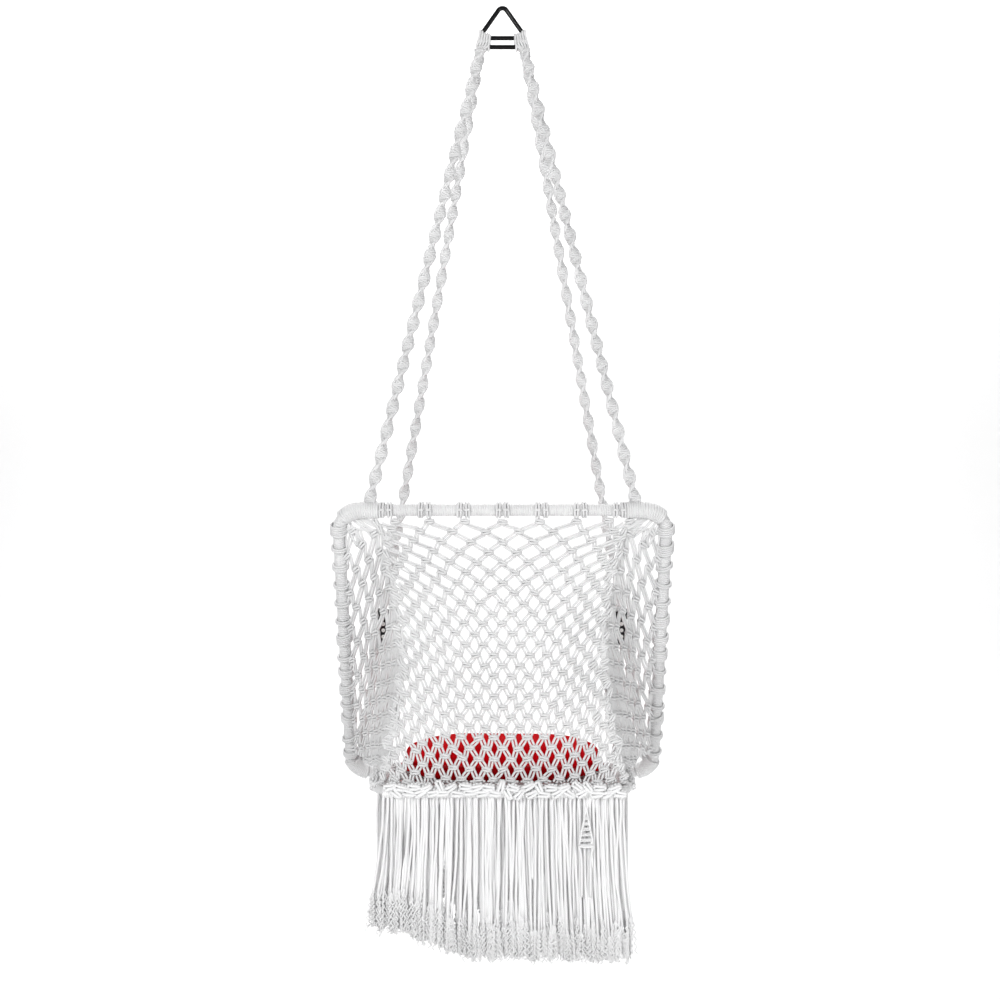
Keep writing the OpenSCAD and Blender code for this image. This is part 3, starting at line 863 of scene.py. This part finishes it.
def make_top_loops(cord):
    """Cords that loop over the triangle's base and its corners, and round the spreader bar."""
    reach = WIRE + 0.4 * MM + 1.1 * CORD
    thick = 1.1 * CORD
    for name, sign in SIDES:
        cords = Cords()
        for x_top, up, x_low in LOOPS:
            top = np.array([0.0, HINGE[2] + up * MM])
            low = np.array([0.0, SPREADER[2]])
            belt = belt_round(top, reach, low, reach)
            share = np.clip((top[1] - belt[:, 1]) / (top[1] - low[1]), 0, 1)
            x = sign * (x_top + (x_low - x_top) * share) * MM
            cords.add(np.column_stack([x, belt]), thick)
            for way in (-1, 1):
                end = KNOT * (sign, way, 1) + rng.normal(size=3) * 1.5 * MM - 5 * MM * Z
                at_base = (sign * x_top * MM, way * reach, HINGE[2] - 3 * MM)
                at_spreader = (sign * x_low * MM, way * (reach + 0.8 * MM), SPREADER[2] + 1 * MM)
                below = (sign * (x_low / 2 + 15) * MM, way * 6.5 * MM, SPREADER[2] - 6 * MM)
                path = np.array([at_base, at_spreader, below, end])
                cords.add(smooth(path[None], 5), thick)
        cords.piece(f"top_loop_{name}_cords", "swing", cord, f"top_loop_{name}")


# -------- fringe
FRINGE_SHORT, FRINGE_LONG = 168 * MM, 203 * MM
TASSEL = 44 * MM  # usual length of the unlaid end of a strand
STRAND = 1.75 * MM  # radius of a strand
LAYER_DEPTH = 2.9 * MM  # half the depth from the first layer of strands to the last
BAND_CORD = 1.35 * CORD  # cord of the band of knots
BAND_PITCH = 14.5 * MM
BAND_ROWS = ((6.0 * MM, 0.0), (-0.8 * MM, 0.5))  # height over the bar, and offset in pitches


def fringe_length(x):
    """The fringe is short on the left, steps down left of the middle, and is long on the right."""
    step = np.clip((x + 130 * MM) / (100 * MM), 0, 1)
    step = step * step * (3 - 2 * step)
    slant = (x + SEAT_HALF) / (2 * SEAT_HALF)
    return FRINGE_SHORT + (FRINGE_LONG - FRINGE_SHORT) * (0.8 * step + 0.2 * slant)


def strand(top, length, out, sway):
    """The points of one hanging strand: straight down with a little wander."""
    drop = np.array([0, 3, 12, 30, 60, 95, 130, 160, 200]) / 200 * length
    wander = np.cumsum(rng.normal(size=(len(drop), 2)), axis=0) * 0.7 * MM
    wander[0] = 0
    side = np.cross(out, Z)
    return (top - drop[:, None] * Z + wander[:, :1] * side + 0.4 * wander[:, 1:] * out
            + sway * (drop / length)[:, None] ** 2 * side)


def tassel(cords, start, side, out, length):
    """Unlaid yarns below a strand: thin, crimped and spread."""
    many, long = 6, 29
    t = np.linspace(0, 1, long)
    spread = rng.normal(size=(many, 2)) * (3.1 * MM, 1.6 * MM)
    phase = rng.uniform(0, 2 * np.pi, size=(many, 2))
    waves = rng.uniform(5.0, 8.0, size=(many, 1))
    open_up = np.minimum(1, 3 * t)
    crimp = 1.5 * MM * np.sin(2 * np.pi * waves * t + phase[:, :1]) * open_up
    crimp2 = 1.2 * MM * np.sin(2 * np.pi * waves * t + phase[:, 1:]) * open_up
    fall = t[None] * length * rng.uniform(0.85, 1.0, size=(many, 1))
    path = (start - fall[..., None] * Z
            + (spread[:, :1] * np.sqrt(t) + crimp)[..., None] * side
            + (spread[:, 1:] * np.sqrt(t) + crimp2)[..., None] * out)
    cords.add(path, 1.05 * MM * (1 - 0.2 * t), 4)


def knot_row(cords, start, side, length, out, forward, lift, offset):
    """A row of uneven knots along a seat bar."""
    many = int(length / BAND_PITCH)
    along = (np.arange(many) + 0.5 + offset) * BAND_PITCH + rng.normal(size=many) * 1.1 * MM
    tilt = rng.normal(size=many)[:, None] * 0.42
    height = lift + rng.normal(size=many) * 0.8 * MM
    place = start + along[:, None] * side + forward * out + height[:, None] * Z
    across, down = leaning(tilt, side)
    put_knots(cords, place, across, down, np.tile(out, (many, 1)), BAND_CORD)


def make_fringe(cord, yarn, name, start, stop, out, layers, trim=0.0):
    """A curtain of strands along a bar from start to stop, hung from two rows of knots.

    The strands turn with the curtain about the bar, and the knots stay on the bar."""
    band, cords, tassels = Cords(), Cords(), Cords()
    side = unit(stop - start)
    length = float(np.linalg.norm(stop - start))
    ends = np.array([start, stop])
    wind(band, ends, out, SEAT_BAR + 0.3 * MM + 2 * CORD)
    face = SEAT_BAR + 2.2 * CORD
    for lift, offset in BAND_ROWS:
        knot_row(band, start, side, length, out, face, lift, offset)
    count = int(length / (2.3 * STRAND))
    for layer in range(layers):
        forward = (0.5 - 2 * layer / max(1, layers - 1)) * LAYER_DEPTH
        for i in range(count):
            bunch = 0.45 * math.sin(i * 0.9 + layer * 2.1) + rng.normal() * 0.25
            a = (i + 0.25 + 0.5 * (layer % 2) + bunch) / (count - 0.2) * length
            top = start + a * side + forward * out - (SEAT_BAR - 1 * MM) * Z
            middle = a / length - 0.5
            reach = fringe_length(float(top[0])) - trim - SEAT_BAR + rng.normal() * 2.5 * MM
            reach -= layer * 4 * MM
            sway = (30 * middle**3 + 7 * middle + rng.normal() * 2.4) * MM
            loose = TASSEL * rng.uniform(0.75, 1.25)
            path = smooth(strand(top, reach - loose, out, -sway)[None], 2)
            cords.add(path, STRAND * rng.uniform(0.88, 1.08), 6)
            tassel(tassels, path[0, -1] + 2 * MM * Z, side, out, loose)
    band.piece(f"{name}_band", "swing", cord)
    body = f"{name}_curtain"
    cords.piece(f"{name}_strands", body, cord, name)
    tassels.piece(f"{name}_tassels", body, yarn)


def make_fringes(cord, yarn):
    rear, front = SEAT_HALF - SEAT_BEND + 16 * MM, SEAT_HALF - SEAT_BEND - 17 * MM
    make_fringe(cord, yarn, "fringe_rear", np.array([-rear, SEAT_REAR, SEAT_Z]),
                np.array([rear, SEAT_REAR, SEAT_Z]), -Y, 3)
    make_fringe(cord, yarn, "fringe_front", np.array([front, SEAT_FRONT, SEAT_Z]),
                np.array([-front, SEAT_FRONT, SEAT_Z]), Y, 2, trim=8 * MM)
    for name, sign in SIDES:
        ends = [np.array([sign * SEAT_HALF, y, SEAT_Z])
                for y in (SEAT_REAR + SEAT_BEND + 3 * MM, SEAT_FRONT - SEAT_BEND - 3 * MM)]
        start, stop = ends[::-sign]
        make_fringe(cord, yarn, f"fringe_{name}", start, stop, sign * X, 3, trim=4 * MM)
    make_motif(cord)


def make_motif(cord):
    """The small triangle of knots among the rear strands: two leaning cords with knots between."""
    box = np.array(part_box("fringe_motif"))
    x, y = box[:, 0].mean(), box[0][1] - 1.5 * MM
    top, low = box[1][2], box[0][2]
    cords, rows = Cords(), 6
    for j in range(rows):
        z = top + (low - top) * (j + 0.9) / rows
        half = 7.5 * MM * (j + 0.6) / rows
        many = 1 + j // 2
        xs = x + (np.linspace(-0.6, 0.6, many) if many > 1 else np.zeros(1)) * half
        places = np.column_stack([xs, np.full(many, y), np.full(many, z)])
        put_knots(cords, places, np.tile(X, (many, 1)), np.tile(-Z, (many, 1)),
                  np.tile(-Y, (many, 1)), 0.55 * CORD)
    for side in (-1, 1):
        foot = (x + side * 8.5 * MM, y, low)
        leg = np.array([(x + side * MM, y, top + 8 * MM), (x + side * 1.2 * MM, y, top), foot])
        cords.add(smooth(leg[None], 6), 0.9 * CORD)
        tail = np.array([foot, (x + side * 5.5 * MM, y + MM, low - 16 * MM),
                         (x + side * 5 * MM, y + 2.5 * MM, low - 60 * MM)])
        cords.add(smooth(tail[None], 6), CORD)
    base = np.array([(x - 9 * MM, y - MM, low), (x, y - 1.3 * MM, low - MM),
                     (x + 9 * MM, y - MM, low)])
    cords.add(smooth(base[None], 6), CORD)
    cords.piece("fringe_triangle", "fringe_rear_curtain", cord, "fringe_motif")


# -------- cushion
PAD_CUTS = 38  # cuts across each side of the pad's mesh
PAD_SHRINK = 3.5 * MM
PRESSURE, FRAMES, MOST_SWELL = 3.0, 16, 7 * MM  # of the cloth simulation
PIPING = 1.6 * MM  # radius


def cushion_blank(box, shrink):
    """A rounded pad, a little smaller than the cushion's box, ready to be blown up as cloth."""
    low, high = box
    centre, size = (low + high) / 2, (high - low) - 2 * shrink
    bm = bmesh.new()
    bmesh.ops.create_cube(bm, size=1.0)
    bmesh.ops.subdivide_edges(bm, edges=bm.edges[:], cuts=PAD_CUTS, use_grid_fill=True)
    for v in bm.verts:
        p = np.array(v.co) * 2
        corner = (abs(p[0]) * abs(p[1])) ** 6
        x = p[0] * (1 - 0.06 * corner) * (1 - 0.03 * (1 - p[1] ** 2))
        y = p[1] * (1 - 0.06 * corner) * (1 - 0.03 * (1 - p[0] ** 2))
        edge = (abs(p[0]) ** 6 + abs(p[1]) ** 6) ** (1 / 6)
        z = p[2] * (1 - 0.72 * min(edge, 1) ** 4.5)
        v.co = centre + np.array([x, y, z]) * size / 2
    mesh = bpy.data.meshes.new("seat_cushion")
    bm.to_mesh(mesh)
    bm.free()
    return bpy.data.objects.new("seat_cushion", mesh)


def blow_up(piece, pressure, frames, cap):
    """Runs a short cloth simulation under pressure, with every point's travel capped."""
    bpy.context.collection.objects.link(piece)
    start = np.array([v.co for v in piece.data.vertices])
    cloth = piece.modifiers.new("cloth", "CLOTH")
    cloth.settings.use_pressure = True
    cloth.settings.uniform_pressure_force = pressure
    cloth.settings.effector_weights.gravity = 0
    cloth.settings.quality = 5
    scene = bpy.context.scene
    for f in range(1, frames + 1):
        scene.frame_set(f)
    shaped = piece.evaluated_get(bpy.context.evaluated_depsgraph_get()).to_mesh()
    end = np.array([v.co for v in shaped.vertices])
    piece.modifiers.remove(cloth)
    scene.frame_set(1)
    move = end - start
    far = np.linalg.norm(move, axis=1, keepdims=True)
    end = start + move * np.minimum(1, cap / np.maximum(far, 1e-9))
    piece.data.vertices.foreach_set("co", end.astype(np.float32).ravel())
    piece.data.update()


def pucker(co, box):
    """Small gathers where the cover is sewn to its piping, and a few soft dents in the top."""
    centre, half = (box[0] + box[1]) / 2, (box[1] - box[0]) / 2
    p = (co - centre) / half
    on_end = np.abs(p[:, 0]) > np.abs(p[:, 1])
    along = np.where(on_end, co[:, 1], co[:, 0])
    near = np.maximum(np.abs(p[:, 0]), np.abs(p[:, 1]))
    gather = 0.5 + 0.5 * np.sin(along / (3.4 * MM) + 2.5 * np.sin(along / (17 * MM)))
    depth = 1.5 * MM * gather * np.exp(-((near - 0.86) / 0.08) ** 2)
    dents = np.sin(co[:, 0] / (21 * MM) + 1.1) * np.sin(co[:, 1] / (27 * MM) - 0.6)
    depth += 0.7 * MM * dents * (1 - near**4)
    co[:, 2] -= np.sign(p[:, 2]) * depth * np.minimum(1, np.abs(p[:, 2]) * 4)
    return co


def make_cushion(fabric, cord_edge):
    box = np.array(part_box("cushion_cover"))
    piece = cushion_blank(box, PAD_SHRINK)
    blow_up(piece, PRESSURE, FRAMES, MOST_SWELL)
    co = pucker(np.array([v.co for v in piece.data.vertices]), box)
    co = np.clip(co, box[0] + 0.2 * MM, box[1] - 0.2 * MM)
    piece.data.vertices.foreach_set("co", co.astype(np.float32).ravel())
    sub = piece.modifiers.new("smooth", "SUBSURF")
    sub.levels = sub.render_levels = 1
    for polygon in piece.data.polygons:
        polygon.use_smooth = True
    piece.data.materials.append(fabric)
    settle(piece, "cushion", "cushion_cover", "cushion_filling")
    centre = (box[0] + box[1]) / 2
    waist = co[np.abs(co[:, 2] - centre[2]) < 0.08 * (box[1] - box[0])[2]] - centre
    heading = np.arctan2(waist[:, 1], waist[:, 0])
    order = np.argsort(heading)
    angle = np.linspace(-np.pi, np.pi, 181)
    reach = np.interp(angle, heading[order], np.linalg.norm(waist[:, :2], axis=1)[order],
                      period=2 * np.pi)
    line = centre + reach[:, None] * np.column_stack([np.cos(angle), np.sin(angle), 0 * angle])
    seam = Cords()
    seam.add(line, PIPING, 8)
    seam.piece("cushion_piping", "cushion", cord_edge, slot="red_fabric")


# -------- everything
def dress(name, material):
    """Gives a CAD node that keeps its own shape a better material."""
    piece = frame["nodes"][name]
    for slot in piece.material_slots:
        slot.material = material


def main():
    make_camera()
    make_stage()
    make_light()
    # In each cord material the first colour is painted shade in the grooves between the plaits; the
    # second is the cord's own colour.
    white = cord_material("white_braid", (0.42, 0.42, 0.43), (0.95, 0.95, 0.95))
    fringe_white = cord_material("white_strand", (0.74, 0.74, 0.75), (0.97, 0.97, 0.97))
    yarn = cord_material("white_yarn", (0.66, 0.66, 0.67), (0.93, 0.93, 0.93), plaits=1.0,
                         pitch=1.4 * MM, depth=0.1 * MM, gloss=0.5)
    # For both cloths the first colour is partly painted shade between the threads and partly random
    # slub tone.
    red = fabric_material("red_cloth", (0.3, 0.0, 0.002), (0.62, 0.001, 0.006), 1.5 * MM, 0.95, 0.0)
    red_cord = cord_material("red_piping", (0.3, 0.0, 0.003), (0.6, 0.0, 0.006), 2.0, 3 * MM,
                             gloss=0.85, sheen=0.0)
    webbing = fabric_material("black_webbing", (0.006, 0.006, 0.007), (0.04, 0.04, 0.042),
                              0.7 * MM, 0.6)
    wire = wire_material()
    steel = speckled_material("plain_steel", (0.42, 0.43, 0.45), (0.6, 0.61, 0.62), 0.35, 1.0,
                              (400.0, 4.0), 0.03 * MM)
    rivet = speckled_material("dark_rivet", (0.03, 0.03, 0.03), (0.09, 0.09, 0.09), 0.3)
    eyelet = speckled_material("white_eyelet", (0.78, 0.78, 0.76), (0.9, 0.9, 0.88), 0.35)

    make_top_loops(white)
    make_ropes(white)
    make_frame_windings(white)
    make_lashings(white)
    make_seat_windings(white)
    make_net_loops(white)
    make_back_net(white)
    for name, sign in SIDES:
        make_side_net(white, sign, f"net_{name}")
    make_seat_net(white)
    make_fringes(fringe_white, yarn)
    make_cushion(red, red_cord)

    for name in ("hanger_triangle", "spreader_bar"):
        dress(name, wire)
    for name in ("frame_tube", "seat_ring"):
        dress(name, steel)
    belt = {"band": webbing, "tab": webbing, "rivet": rivet, "eyelets": eyelet}
    for side, _ in SIDES:
        for part, material in belt.items():
            dress(f"belt_{part}_{side}", material)


main()
